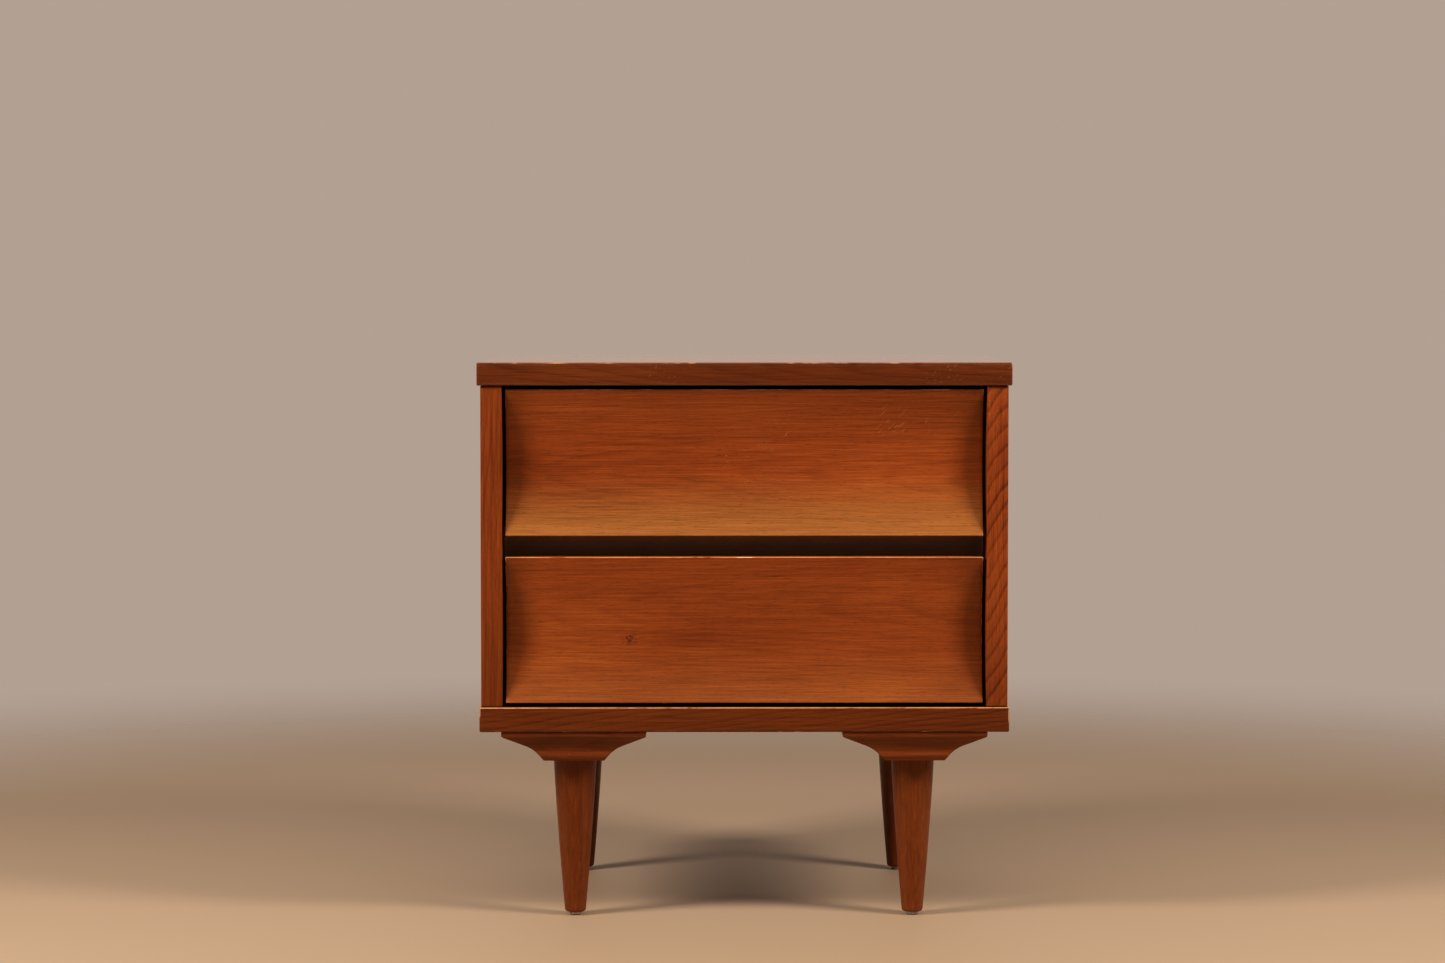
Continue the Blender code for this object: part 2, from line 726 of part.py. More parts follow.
def hanger_bolt(name, x, y):
    low, high = LEG_TOP - BOLT_IN_LEG, BASE_UNDERSIDE + BOLT_IN_BASE
    chamfer = BOLT_RADIUS / 4
    profile = [
        (0, high),
        (BOLT_RADIUS - chamfer, high),
        (BOLT_RADIUS, high - chamfer),
        (BOLT_RADIUS, low + 2 * BOLT_RADIUS),
        (0, low),
    ]
    turned(name, profile, "bolt_steel", (x, y, 0), steps=SMALL_TURN_STEPS)


def glide(name, x, y):
    """A nail-on glide: a low domed head with a flat sole, and its nail in the leg."""
    point = GLIDE_HEAD + GLIDE_NAIL
    profile = [
        (0, point),
        (GLIDE_NAIL_RADIUS, point - 2 * GLIDE_NAIL_RADIUS),
        (GLIDE_NAIL_RADIUS, GLIDE_HEAD),
        (GLIDE_RADIUS, GLIDE_HEAD),
    ]
    profile += round_corner(profile[-1], (GLIDE_RADIUS, 0), (GLIDE_FLAT_RADIUS, 0))
    profile += [(0, 0)]
    turned(name, profile, "glide_steel", (x, y, 0), steps=SMALL_TURN_STEPS)


def shade_smooth():
    for piece in PARTS.objects:
        if piece.type == "MESH":
            piece.data.shade_smooth()
            piece.data.set_sharp_from_angle(angle=SMOOTH_ANGLE)


clear_scene()
PARTS = new_collection("nightstand")
CUTTERS = new_collection("nightstand_cutters")
case_panels()
back_panel()
divider_rails()
runners_and_guides()
drawer("upper", UPPER_Z)
drawer("lower", LOWER_Z)
leg_sets()
shade_smooth()
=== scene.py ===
"""Two-drawer walnut nightstand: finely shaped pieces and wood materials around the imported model.

Everything is in metres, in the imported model's frame: the floor is at z = 0, +X is to the right of
someone facing the drawers, and the drawers open towards -Y. Sizes and places come from the frame.
"""

import json
import math

import bmesh
import bpy
from mathutils import Euler, Matrix, Vector, noise


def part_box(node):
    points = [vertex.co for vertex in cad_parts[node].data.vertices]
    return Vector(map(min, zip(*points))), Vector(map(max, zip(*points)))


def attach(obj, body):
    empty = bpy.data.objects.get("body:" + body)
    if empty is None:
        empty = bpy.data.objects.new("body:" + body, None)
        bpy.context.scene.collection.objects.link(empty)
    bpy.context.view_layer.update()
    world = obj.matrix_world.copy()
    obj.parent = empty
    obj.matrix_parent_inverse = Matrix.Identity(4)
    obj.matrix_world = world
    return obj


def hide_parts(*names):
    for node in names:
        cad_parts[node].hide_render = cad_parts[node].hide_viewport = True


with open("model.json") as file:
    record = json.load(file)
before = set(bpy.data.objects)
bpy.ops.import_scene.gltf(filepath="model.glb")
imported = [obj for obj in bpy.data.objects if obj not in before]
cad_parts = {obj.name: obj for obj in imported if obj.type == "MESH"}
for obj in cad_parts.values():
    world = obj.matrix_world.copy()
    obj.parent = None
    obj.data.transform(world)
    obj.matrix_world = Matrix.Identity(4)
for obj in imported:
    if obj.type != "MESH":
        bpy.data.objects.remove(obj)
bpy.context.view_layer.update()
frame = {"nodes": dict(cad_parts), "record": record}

RECORD = frame["record"]
BODY_OF = {node: body for body, nodes in RECORD["behaviour"]["bodies"].items() for node in nodes}
SLOT_OF = {part["node"]: part["material_slot"] for part in RECORD["subparts"]}
CASE = "case"
LEVELS = ("upper", "lower")
SIDES = (("left", -1), ("right", 1))
CORNERS = [f"{end}_{side}" for end in ("front", "rear") for side, _ in SIDES]

# Camera and stage
CAMERA_PLACE = (-0.0487, -4.0362, 0.6648)
CAMERA_DIP = 0.0525  # radians below level
CAMERA_YAW = 0.0067  # radians to the right
LENS = 91.66  # millimetres
SENSOR = 36  # millimetres
FLOOR_REACH = 30
FLOOR_COLOUR = (0.42, 0.325, 0.245)
FLOOR_FADE = (1.0, 2.4)  # distances between which the floor gives way to the room
WALL_COLOUR = (0.40, 0.325, 0.275)
ROOM_FRONT, ROOM_BEHIND = 0.1, 1.3  # brightness of the room in reflections, as a share of the wall's
FILL_FRONT, FILL_BEHIND = 0.3, 0.5  # and how strongly it lights the object
ROOM_TURN = (-0.1, 0.5)  # front gives way to behind between these Y parts of a ray's direction

# Lights
LIGHT_TARGET = Vector((0, -0.1, 0.35))
WARM = (1.0, 0.85, 0.68)
SIDE_BOX = (0.65, 0.75)
FRONT_BOX = (1.6, 0.6)

# Shapes
CORNER_STEPS = 4
EDGE_SPACING = 0.004
HOLDING = 0.0004  # from a rounding to the ring that keeps the flat beyond it flat
SMOOTH_LIMIT = math.radians(35)  # corners sharper than this are shaded as corners
SLAB_ROUND, SLAB_WEAR = 0.0013, 0.00035
PANEL_ROUND, PANEL_WEAR = 0.0009, 0.0002
LIP_ROUND, LIP_WEAR = 0.0009, 0.00018
LIP_DEEPEST = LIP_ROUND * 0.98  # a full inset would fold the outline over itself
LIP_FLAT = 0.07  # where the flat of a lip starts, as a share of its thickness
LIP_CUTS = 3
BACK_GAP = 0.0003
ARC_STEPS = 56
FRONT_THICK = 0.016
FRONT_SCOOP = 0.0165
CHIP_REACH = 0.006
CHIP_DEPTH = 3.0  # of the chip in the lower front's lip, beside ordinary wear
CHIP_MARK = 1.2  # only a chip is marked as more of an edge than this
TURN_STEPS = 72
SMALL_TURN_STEPS = 40
POINT_RADIUS = 0.0002
SCREW_SHANK = 0.0015
SCREW_RISE = 0.0012
SLOT_WIDTH, SLOT_DEPTH = 0.0009, 0.0008
GLIDE_HEAD, GLIDE_NAIL, GLIDE_FLAT, GLIDE_ROUND = 0.003, 0.0012, 0.0045, 0.0016
TACK_HEAD, TACK_NAIL = 0.0031, 0.0011
BOARD_EASE = 0.0007
FLAT_LIMIT = math.radians(0.5)  # faces nearer to flat than this are joined
EDGE_LIMIT = math.radians(50)  # edges sharper than this are eased
BLOCK_SIDE_RUN = 0.0445
BLOCK_FRONT_RUN = 0.009
BLOCK_EASE = 0.0012
LEG_TOP_RADIUS, LEG_FOOT_RADIUS = 0.02285, 0.0113
LEG_SWELL = 0.0029
LEG_ROWS = 48
LEG_LEAD = 0.1  # share of a row between the top edge and the first row
FOOT_ROUND = 0.0042
FOOT_MARK = 0.7  # how much of an edge the foot is

# Leg block mouldings. On its sides, named corners as shares (in, down) of the run and the height
SIDE_MOULDING = {
    "fillet": (0, 0.14),
    "nose": (0.05, 0.20),
    "slope": (0.56, 0.50),
    "cove": (0.95, 0.93),
}
# and on its front and back, as (down, in)
FRONT_MOULDING = ((0, 0), (0.14, 0), (0.20, 0.10), (0.50, 0.85), (0.62, 1), (0.86, 0.75), (1, 1))
FRONT_SOFTENING = 0.035  # how far up and down its corners are rounded

# Wood
YEAR = 0.0042  # a growth ring
BANDING = 0.0022  # depth of the veneer strip on a front edge
QUIET_FIGURE = 0.35  # the most that rings darken the wood behind that strip
GRAIN_TURN = {"X": (0, 0, 0), "Y": (0, 0, -math.pi / 2), "Z": (0, math.pi / 2, 0)}
SEED_SHIFT = 1.7
GOLDEN = (1.0, 0.72, 0.40, 1.0)  # the lacquer's sheen
WALNUT = (
    (0.0, (0.085, 0.018, 0.0050)),
    (0.30, (0.175, 0.038, 0.0093)),
    (0.60, (0.250, 0.060, 0.0145)),
    (1.0, (0.35, 0.104, 0.0270)),
)
# Tones of the fronts' golden lower half: partly paler veneer, partly a painted sheen of the light from
# above
VENEER_AND_SHEEN_TONES = ((0.0, (0.19, 0.068, 0.018)), (1.0, (0.46, 0.205, 0.062)))
PORE_COLOUR = (0.045, 0.011, 0.004)
KNOT_COLOUR = (0.06, 0.014, 0.004)
# Colour of the painted shadow that the side panels cast over the ends of the drawer fronts
END_SHADOW_COLOUR = (0.03, 0.008, 0.002)
# Colour of the painted shade towards the bottom of the side panels
SHADE_COLOUR = (0.05, 0.012, 0.003)
# How far in from each end of a front that painted shadow reaches
END_SHADOW_REACH = 0.045
BARE_COLOURS = (0.50, 0.25, 0.11), (0.74, 0.46, 0.26)
CHIP_COLOUR = (0.85, 0.66, 0.46)

# Looks of the walnut pieces, as walnut() takes them
SLAB_LOOKS = {
    "top_panel": {"heart": (0.02, 0.05), "figure": 0.35, "worn": 0.3, "coat": 1.0, "bright": 0.62},
    # The base's rubbed top front edge is partly wear and partly a painted highlight of the light above
    "base_panel": {"heart": (0.12, 0.02), "figure": 0.5, "year": 0.006, "tilt": -0.16,
                   "worn": 0.78, "bright": 0.6},
}
SIDE_LOOKS = {
    "left": {"heart": (0.09, 0.05), "bright": 1.06, "figure": 0.35},
    "right": {"heart": (0.3, 0.02), "bright": 1.28, "figure": 0.7, "year": 0.017, "tilt": 0.8},
}
# The golden lower half of each front is partly paler veneer and partly painted sheen
FRONT_LOOKS = {
    "upper": {"heart": (-0.02, 0.07), "bright": 1.24, "veneer_and_sheen": 0.85, "worn": 0.45,
              # the darker ends of the fronts are a painted shadow of the side panels
              "painted_end_shadow": 0.3},
    "lower": {"heart": (0.03, 0.09), "bright": 1.05, "veneer_and_sheen": 0.22, "worn": 0.72,
              # the lower front's top is made lighter by painted light
              "painted_end_shadow": 0.42, "painted_top_light": 0.45, "knots": [(0.26, 0.43)]},
}
BLOCK_LOOK = {"heart": (0.03, 0.04), "worn": 0.25, "bright": 0.68}
LEG_LOOK = {"heart": (0.012, 0.03), "worn": 0.2, "bright": 0.72}

# Pale and dark tones of the boards inside
DRAWER_WOOD = (0.56, 0.37, 0.19), (0.40, 0.24, 0.115)
FRAME_WOOD = (0.42, 0.27, 0.14), (0.28, 0.165, 0.08)
STAINED_WOOD = (0.44, 0.29, 0.18), (0.33, 0.21, 0.125)
BACK_BOARD = (0.30, 0.185, 0.10), (0.22, 0.13, 0.07)
# Words in a board's name, the way its grain runs, its tones and its roughness. The first that fits
# counts, and the last fits every board
BOARDS = (
    (("front_divider_rail",), "X", STAINED_WOOD, 0.5),
    (("back_panel",), "Z", BACK_BOARD, 0.75),
    (("rail",), "X", FRAME_WOOD, 0.6),
    (("runner", "kicker", "center_guide"), "Y", FRAME_WOOD, 0.6),
    (("drawer_back", "drawer_bottom", "guide_shoe"), "X", DRAWER_WOOD, 0.5),
    (("",), "Y", DRAWER_WOOD, 0.5),
)
BOARD_SEED = 50
BOARD_BAND = 0.012  # a pale band and a dark one, side by side

# Metal, as clean and dulled colours
STEEL = (0.52, 0.51, 0.49), (0.25, 0.22, 0.19)
BRASS = (0.55, 0.40, 0.17), (0.25, 0.17, 0.08)


# Meshes


def unit_circle(steps):
    for i in range(steps):
        angle = 2 * math.pi * i / steps
        yield math.cos(angle), math.sin(angle)


class Mesh:
    """A closed mesh made of rings of points. Each point also says how much of an edge it is."""

    def __init__(self, name):
        self.name = name
        self.rings = []

    def ring(self, points, edges=0.0):
        """Adds a ring. edges is one number, or one for each point."""
        points = [Vector(p) for p in points]
        if isinstance(edges, (int, float)):
            edges = [edges] * len(points)
        self.rings.append((points, edges))

    def build(self, wear=0.0, seed=0.0):
        """The mesh, with its ends capped, and its edges rubbed down by up to wear."""
        count = len(self.rings[0][0])
        verts = [p for points, _ in self.rings for p in points]
        edges = [e for _, marks in self.rings for e in marks]
        faces = []
        for r in range(len(self.rings) - 1):
            for i in range(count):
                j = (i + 1) % count
                below, above = r * count, (r + 1) * count
                faces.append((below + i, below + j, above + j, above + i))
        last = (len(self.rings) - 1) * count
        faces.append(tuple(reversed(range(count))))
        faces.append(tuple(range(last, last + count)))
        mesh = bpy.data.meshes.new(self.name)
        mesh.from_pydata(verts, [], faces)
        tidy = bmesh.new()
        tidy.from_mesh(mesh)
        bmesh.ops.recalc_face_normals(tidy, faces=tidy.faces)
        tidy.to_mesh(mesh)
        tidy.free()
        if wear:
            rub_down(mesh, edges, wear, seed)
        mark = mesh.attributes.new("edge", "FLOAT", "POINT")
        mark.data.foreach_set("value", edges)
        mesh.shade_smooth()
        mesh.set_sharp_from_angle(angle=SMOOTH_LIMIT)
        return mesh


def rub_down(mesh, edges, wear, seed):
    """Moves the points on edges inward, unevenly, as years of knocks do."""
    broad_scale, fine_scale = 35, 190
    normals = [v.normal.copy() for v in mesh.vertices]
    for vert, edge, normal in zip(mesh.vertices, edges, normals):
        if edge > 0:
            place = vert.co + Vector((seed, seed, seed))
            broad = noise.noise(place * broad_scale)
            fine = noise.noise(place * fine_scale)
            depth = 0.35 + 0.9 * max(0, broad) + 1.4 * max(0, fine - 0.25)
            vert.co -= normal * min(1, depth) * wear * edge


def new_piece(name, mesh, body, slot, stands_for, material):
    """Adds a piece that rides on a body and is shown in place of a CAD node."""
    piece = bpy.data.objects.new(name, mesh)
    bpy.context.scene.collection.objects.link(piece)
    mesh.materials.append(material)
    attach(piece, body)
    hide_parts(stands_for)
    return piece


def rounding(radius):
    """(how far along, how far in, share of an edge) through a quarter round, from its far end."""
    for i in range(CORNER_STEPS + 1):
        angle = math.pi / 2 * i / CORNER_STEPS
        share = math.sin(2 * angle)
        yield radius * (1 - math.cos(angle)), radius * (1 - math.sin(angle)), share


def rounded_corner(start, corner, end, t):
    """The point a share t of the way along the bend from start to end."""
    return start.lerp(corner, t).lerp(corner.lerp(end, t), t)


def corner_curve(start, corner, end, steps):
    """The points of that bend, without its start."""
    start, corner, end = Vector(start), Vector(corner), Vector(end)
    for i in range(1, steps + 1):
        yield tuple(rounded_corner(start, corner, end, i / steps))


def side_cuts(corners):
    """How many spans each side of an outline is divided into."""
    ends = corners[1:] + corners[:1]
    return [max(1, round(math.dist(a, b) / EDGE_SPACING)) for a, b in zip(corners, ends)]


def bent_corner(corners, i, inset, radius):
    """The points round one corner of an outline moved in by inset, and their edge shares."""
    corner = Vector(corners[i])
    before = (corner - Vector(corners[i - 1])).normalized()
    after = (Vector(corners[(i + 1) % len(corners)]) - corner).normalized()
    inward = Vector((-before.y, before.x)) + Vector((-after.y, after.x))
    outer = before.cross(after) > 0
    bend = max(radius - inset, 0) if outer else 0
    middle = corner + inward * (inset + bend)
    points, shares = [], []
    for step in range(CORNER_STEPS + 1):
        turn = math.pi / 2 * step / CORNER_STEPS
        normal = Vector((before.y, -before.x)) * math.cos(turn)
        normal += Vector((after.y, -after.x)) * math.sin(turn)
        points.append(middle + normal * bend)
        shares.append(math.sin(2 * turn) if outer else 0)
    return points, shares


def offset_outline(corners, inset, radius, spans=None):
    """A right-angled outline moved in by inset, with its outer corners rounded, and the edge
    share of each point. Every inset gives the same number of points."""
    spans = spans or side_cuts(corners)
    bends = [bent_corner(corners, i, inset, radius) for i in range(len(corners))]
    points, shares = [], []
    for i, (bend, bend_shares) in enumerate(bends):
        points += bend
        shares += bend_shares
        arrive = bends[(i + 1) % len(bends)][0][0]
        for cut in range(1, spans[i]):
            points.append(bend[-1].lerp(arrive, cut / spans[i]))
            shares.append(0)
    return points, shares


def rectangle(low, high):
    return [(low.x, low.y), (high.x, low.y), (high.x, high.y), (low.x, high.y)]


def slab(name, corners, low, high, radius, wear, seed):
    """A board of a right-angled outline between two heights, with every outer edge rounded."""
    mesh = Mesh(name)

    def add(height, inset, edge):
        points, shares = offset_outline(corners, inset, radius)
        edges = [max(edge, share) for share in shares]
        mesh.ring([(*p, height) for p in points], edges)

    add(low, radius + HOLDING, 0)
    for along, inset, edge in rounding(radius):
        add(low + along, inset, edge)
    rise = high - low - 2 * radius
    rows = max(2, round(rise / EDGE_SPACING))
    for i in range(1, rows):
        add(low + radius + rise * i / rows, 0, 0)
    for along, inset, edge in reversed(list(rounding(radius))):
        add(high - along, inset, edge)
    add(high, radius + HOLDING, 0)
    return mesh.build(wear, seed)


# Case


def slabs():
    """The top and the base."""
    for seed, (node, look) in enumerate(SLAB_LOOKS.items(), start=1):
        low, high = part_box(node)
        name = f"{node}_veneered"
        mesh = slab(name, rectangle(low, high), low.z, high.z, SLAB_ROUND, SLAB_WEAR, seed)
        material = walnut(node, "X", seed=seed, **look)
        new_piece(name, mesh, CASE, "walnut_top", node, material)


def side_panels():
    """The two sides, with the rabbets that take the back panel."""
    back_low, back_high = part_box("back_panel")
    for side, sign in SIDES:
        node = f"{side}_side_panel"
        low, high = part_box(node)
        inner, outer = (high.x, low.x) if sign < 0 else (low.x, high.x)
        rabbet_x = (back_low.x if sign < 0 else back_high.x) + sign * BACK_GAP
        rabbet_y = back_low.y - BACK_GAP
        corners = [(outer, low.y), (outer, high.y), (rabbet_x, high.y)]
        corners += [(rabbet_x, rabbet_y), (inner, rabbet_y), (inner, low.y)]
        if sign < 0:
            corners = corners[::-1]
        name = f"{side}_side_veneered"
        mesh = slab(name, corners, low.z, high.z, PANEL_ROUND, PANEL_WEAR, 3 + sign)
        # The sides get painted shade towards their bottom
        material = walnut(node, "Z", seed=4 + sign, worn=0.2, shade=0.3, **SIDE_LOOKS[side])
        new_piece(name, mesh, CASE, "walnut_side", node, material)


# Drawer fronts


def lip(start, goal, level):
    """The points across a lip from one face of a bent panel to the other, and their edge shares."""
    reach = (goal.x - start.x) * LIP_FLAT
    leave = Vector((start.x + reach, level))
    land = Vector((goal.x - reach, level))
    steps = [i / (CORNER_STEPS + 1) for i in range(1, CORNER_STEPS + 1)]
    points = [rounded_corner(start, Vector((start.x, level)), leave, t) for t in steps]
    points += [leave.lerp(land, i / LIP_CUTS) for i in range(LIP_CUTS + 1)]
    points += [rounded_corner(land, Vector((goal.x, level)), goal, t) for t in steps]
    rounded = [math.sin(math.pi * t) for t in steps]
    return points, rounded + [0] * (LIP_CUTS + 1) + rounded


def front_outline(low, high, inset):
    """The bent panel's outline seen from the side, moved in by inset, as (y, z) points."""
    half = (high.z - low.z) / 2
    middle = (high.z + low.z) / 2
    bend_radius = (half**2 + FRONT_SCOOP**2) / (2 * FRONT_SCOOP)
    centre = low.y + FRONT_SCOOP - bend_radius
    top = half - LIP_ROUND

    def arc(offset, start, end):
        for i in range(ARC_STEPS + 1):
            z = start + (end - start) * i / ARC_STEPS
            yield Vector((centre + math.sqrt((bend_radius + offset) ** 2 - z**2), z))

    face = list(arc(inset, top, -top))
    rear = list(arc(FRONT_THICK - inset, -top, top))
    lower_lip, lower_shares = lip(face[-1], rear[0], -half + inset)
    upper_lip, upper_shares = lip(rear[-1], face[0], half - inset)
    points = face + lower_lip + rear + upper_lip
    shares = [0] * len(face) + lower_shares + [0] * len(rear) + upper_shares
    return [(p.x, p.y + middle) for p in points], shares


def drawer_fronts():
    """The bent fronts, smooth along the arc, with rounded lips and ends. The lower one's upper
    lip is chipped in its middle."""
    for number, level in enumerate(LEVELS):
        node = f"{level}_front"
        low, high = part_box(node)
        mesh = Mesh(f"{level}_drawer_front")
        chip = (low.x + high.x) / 2 if level == "lower" else math.inf

        def add(x, inset, edge):
            outline, shares = front_outline(low, high, min(inset, LIP_DEEPEST))
            if abs(x - chip) < CHIP_REACH:
                shares[-CORNER_STEPS:] = [CHIP_DEPTH * share for share in shares[-CORNER_STEPS:]]
            edges = [max(edge, share) for share in shares]
            mesh.ring([(x, y, z) for y, z in outline], edges)

        for along, inset, edge in rounding(LIP_ROUND):
            add(low.x + along, inset, edge)
        span = high.x - low.x - 2 * LIP_ROUND
        columns = round(span / EDGE_SPACING)
        for i in range(1, columns):
            add(low.x + LIP_ROUND + span * i / columns, 0, 0)
        for along, inset, edge in reversed(list(rounding(LIP_ROUND))):
            add(high.x - along, inset, edge)
        made = mesh.build(LIP_WEAR, 7 + number)
        material = walnut(node, "X", seed=11 + 3 * number, figure=0.18, **FRONT_LOOKS[level])
        new_piece(f"{level}_drawer_front", made, f"{level}_drawer", "walnut_front", node, material)


# Leg blocks and legs


def value_between(stops, place):
    """The value at a place between (place, value) stops."""
    for (above, start), (below, end) in zip(stops, stops[1:]):
        if above <= place <= below:
            return start + (end - start) * (place - above) / (below - above)
    raise ValueError("the place is outside the stops")


def front_inward(down):
    """How far in the front moulding is at a height on the block, averaged round its corners."""
    steps = (-1, -0.5, 0, 0.5, 1)
    places = [min(max(down + step * FRONT_SOFTENING, 0), 1) for step in steps]
    return sum(value_between(FRONT_MOULDING, place) for place in places) / len(steps)


def side_moulding():
    """The side moulding from top to bottom, as shares (in, down) of its run and its height."""
    m = SIDE_MOULDING
    yield 0, 0
    yield 0, m["fillet"][1] / 2
    yield m["fillet"]
    yield from corner_curve(m["fillet"], (0, 0.17), m["nose"], 4)
    for i in range(1, 4):
        yield tuple(Vector(m["nose"]).lerp(Vector(m["slope"]), i / 4))
    yield m["slope"]
    yield from corner_curve(m["slope"], (0.80, 0.64), m["cove"], 12)
    yield from corner_curve(m["cove"], (0.98, 0.99), (1, 1), 4)


def leg_blocks():
    for number, corner in enumerate(CORNERS):
        node = f"{corner}_leg_block"
        low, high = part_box(node)
        name = f"{corner}_block"
        mesh = Mesh(name)
        spans = side_cuts(rectangle(low, high))
        for inward, down in side_moulding():
            z = high.z - down * (high.z - low.z)
            side_in = inward * BLOCK_SIDE_RUN
            front_in = front_inward(down) * BLOCK_FRONT_RUN
            row_low = Vector((low.x + side_in, low.y + front_in))
            row_high = Vector((high.x - side_in, high.y - front_in))
            points, shares = offset_outline(rectangle(row_low, row_high), 0, BLOCK_EASE, spans)
            mesh.ring([(*p, z) for p in points], shares)
        material = walnut(node, "X", seed=21 + number, **BLOCK_LOOK)
        new_piece(name, mesh.build(), CASE, "walnut_leg", node, material)


def turned(name, profile, place, steps=TURN_STEPS, marks=None, axis="Z"):
    """A lathe-turned mesh from (radius, height along the axis) points, which stay off the axis."""
    mesh = Mesh(name)
    for i, (radius, height) in enumerate(profile):
        if axis == "Z":
            ring = [(place.x + radius * c, place.y + radius * s, height) for c, s in unit_circle(steps)]
        else:
            ring = [(place.x + radius * c, height, place.z + radius * s) for c, s in unit_circle(steps)]
        mesh.ring(ring, marks[i] if marks else 0.0)
    return mesh.build()


def leg_profile(low, high):
    """(radius, height, share of an edge) down a leg: a swelling taper with a rounded foot."""
    yield LEG_TOP_RADIUS - 0.002, high.z, 0
    yield LEG_TOP_RADIUS - 0.0004, high.z, 1
    end = low.z + FOOT_ROUND
    for i in range(LEG_ROWS + 1):
        t = (i + LEG_LEAD) / (LEG_ROWS + LEG_LEAD)
        radius = LEG_TOP_RADIUS + (LEG_FOOT_RADIUS - LEG_TOP_RADIUS) * t + LEG_SWELL * t * (1 - t)
        yield radius, high.z + (end - high.z) * t, 0
    sole = LEG_FOOT_RADIUS - FOOT_ROUND
    for radius, z in corner_curve((radius, end), (LEG_FOOT_RADIUS, low.z), (sole, low.z), 8):
        yield radius, z, FOOT_MARK
    yield sole - 0.002, low.z, 0


def legs():
    for number, corner in enumerate(CORNERS):
        node = f"{corner}_leg"
        low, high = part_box(node)
        rows = list(leg_profile(low, high))
        profile = [(radius, height) for radius, height, _ in rows]
        marks = [mark for _, _, mark in rows]
        name = f"{corner}_turned_leg"
        made = turned(name, profile, (low + high) / 2, marks=marks)
        material = walnut(node, "Z", seed=31 + number, **LEG_LOOK)
        new_piece(name, made, CASE, "walnut_leg", node, material)


# Screws, glides and tacks


def dome(radius, base, rise, flat=0.15, steps=8):
    """(radius, height) points over a low dome, from its rim to its top. The top is flat over that
    share of the radius."""
    for i in range(steps + 1):
        angle = math.pi / 2 * i / steps
        yield max(radius * math.cos(angle), radius * flat), base + rise * math.sin(angle)


def cut_away(mesh, tool):
    """The mesh with the tool's mesh cut out of it."""
    blank = bpy.data.objects.new("blank", mesh)
    cutter = bpy.data.objects.new("cutter", tool)
    for made in (blank, cutter):
        bpy.context.scene.collection.objects.link(made)
    cut = blank.modifiers.new("cut", "BOOLEAN")
    cut.object = cutter
    bpy.context.view_layer.update()
    evaluated = blank.evaluated_get(bpy.context.evaluated_depsgraph_get())
    result = bpy.data.meshes.new_from_object(evaluated)
    for made in (blank, cutter):
        bpy.data.objects.remove(made)
    return result


def cuboid(name, low, high):
    mesh = Mesh(name)
    for z in (low.z, high.z):
        mesh.ring([(*p, z) for p in rectangle(low, high)])
    return mesh.build()


def screws():
    """Round-head wood screws with a slot, with their heads at the back."""
    for node in sorted(frame["nodes"]):
        if "_screw_" not in node:
            continue
        low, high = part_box(node)
        middle = (low + high) / 2
        radius = (high.x - low.x) / 2
        seat = high.y - SCREW_RISE
        profile = [(POINT_RADIUS, low.y), (SCREW_SHANK, low.y + 2 * SCREW_SHANK)]
        profile += [(SCREW_SHANK, seat), (radius * 0.97, seat)]
        profile += list(dome(radius, seat + 0.0001, SCREW_RISE - 0.0001))
        head = turned(node, profile, middle, SMALL_TURN_STEPS, axis="Y")
        slot_low = Vector((-radius * 1.2, high.y - SLOT_DEPTH, -SLOT_WIDTH / 2))
        slot_high = Vector((radius * 1.2, high.y + 0.002, SLOT_WIDTH / 2))
        slot = cuboid("slot", slot_low, slot_high)
        # Every screw was driven to its own angle
        turn = math.radians(37 * len(node) + 53 * int(middle.z * 1000))
        slot.transform(Matrix.Translation((middle.x, 0, middle.z)) @ Matrix.Rotation(turn, 4, "Y"))
        made = cut_away(head, slot)
        material = metal(f"brass_{node}", BRASS)
        new_piece(f"{node}_slotted", made, BODY_OF[node], SLOT_OF[node], node, material)


def glide_profile(low, high):
    """A furniture glide: a rounded disc with a flat sole, and its nail."""
    radius = (high.x - low.x) / 2
    head = low.z + GLIDE_HEAD
    yield GLIDE_FLAT - 0.001, low.z
    yield GLIDE_FLAT, low.z
    yield from corner_curve((GLIDE_FLAT, low.z), (radius, low.z), (radius, low.z + GLIDE_ROUND), 6)
    yield radius, head
    yield GLIDE_NAIL, head
    yield GLIDE_NAIL, high.z - 2 * GLIDE_NAIL
    yield POINT_RADIUS, high.z


def tack_profile(low, high):
    """A domed tack with its nail below."""
    radius = (high.x - low.x) / 2
    seat = high.z - TACK_HEAD
    yield POINT_RADIUS, low.z
    yield TACK_NAIL, low.z + 2 * TACK_NAIL
    yield TACK_NAIL, seat
    yield radius, seat
    yield from dome(radius, seat + TACK_HEAD / 2, TACK_HEAD / 2, 0.5)


def glides_and_tacks():
    """The steel glides under the legs and the nylon tacks on the front rails."""
    for node in sorted(frame["nodes"]):
        low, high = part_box(node)
        if node.endswith("_glide"):
            profile = list(glide_profile(low, high))
            material = metal(f"steel_{node}", STEEL)
        elif node.endswith("_tack"):
            profile = list(tack_profile(low, high))
            material = nylon(f"nylon_{node}")
        else:
            continue
        made = turned(node, profile, (low + high) / 2, SMALL_TURN_STEPS)
        new_piece(f"{node}_turned", made, BODY_OF[node], SLOT_OF[node], node, material)


# Boards inside


def eased_board(node, material):
    """Stands for a CAD board with one whose edges are rounded over."""
    board = bmesh.new()
    board.from_mesh(frame["nodes"][node].data)
    bmesh.ops.remove_doubles(board, verts=board.verts, dist=1e-6)
    bmesh.ops.dissolve_limit(board, angle_limit=FLAT_LIMIT, verts=board.verts, edges=board.edges)
    sharp = [e for e in board.edges if e.is_manifold and e.calc_face_angle() > EDGE_LIMIT]
    bmesh.ops.bevel(
        board, geom=sharp, offset=BOARD_EASE, offset_type="OFFSET", segments=3, profile=0.5,
        affect="EDGES", clamp_overlap=True,
    )
    mesh = bpy.data.meshes.new(f"{node}_eased")
    board.to_mesh(mesh)
    board.free()
    new_piece(f"{node}_eased", mesh, BODY_OF[node], SLOT_OF[node], node, material)


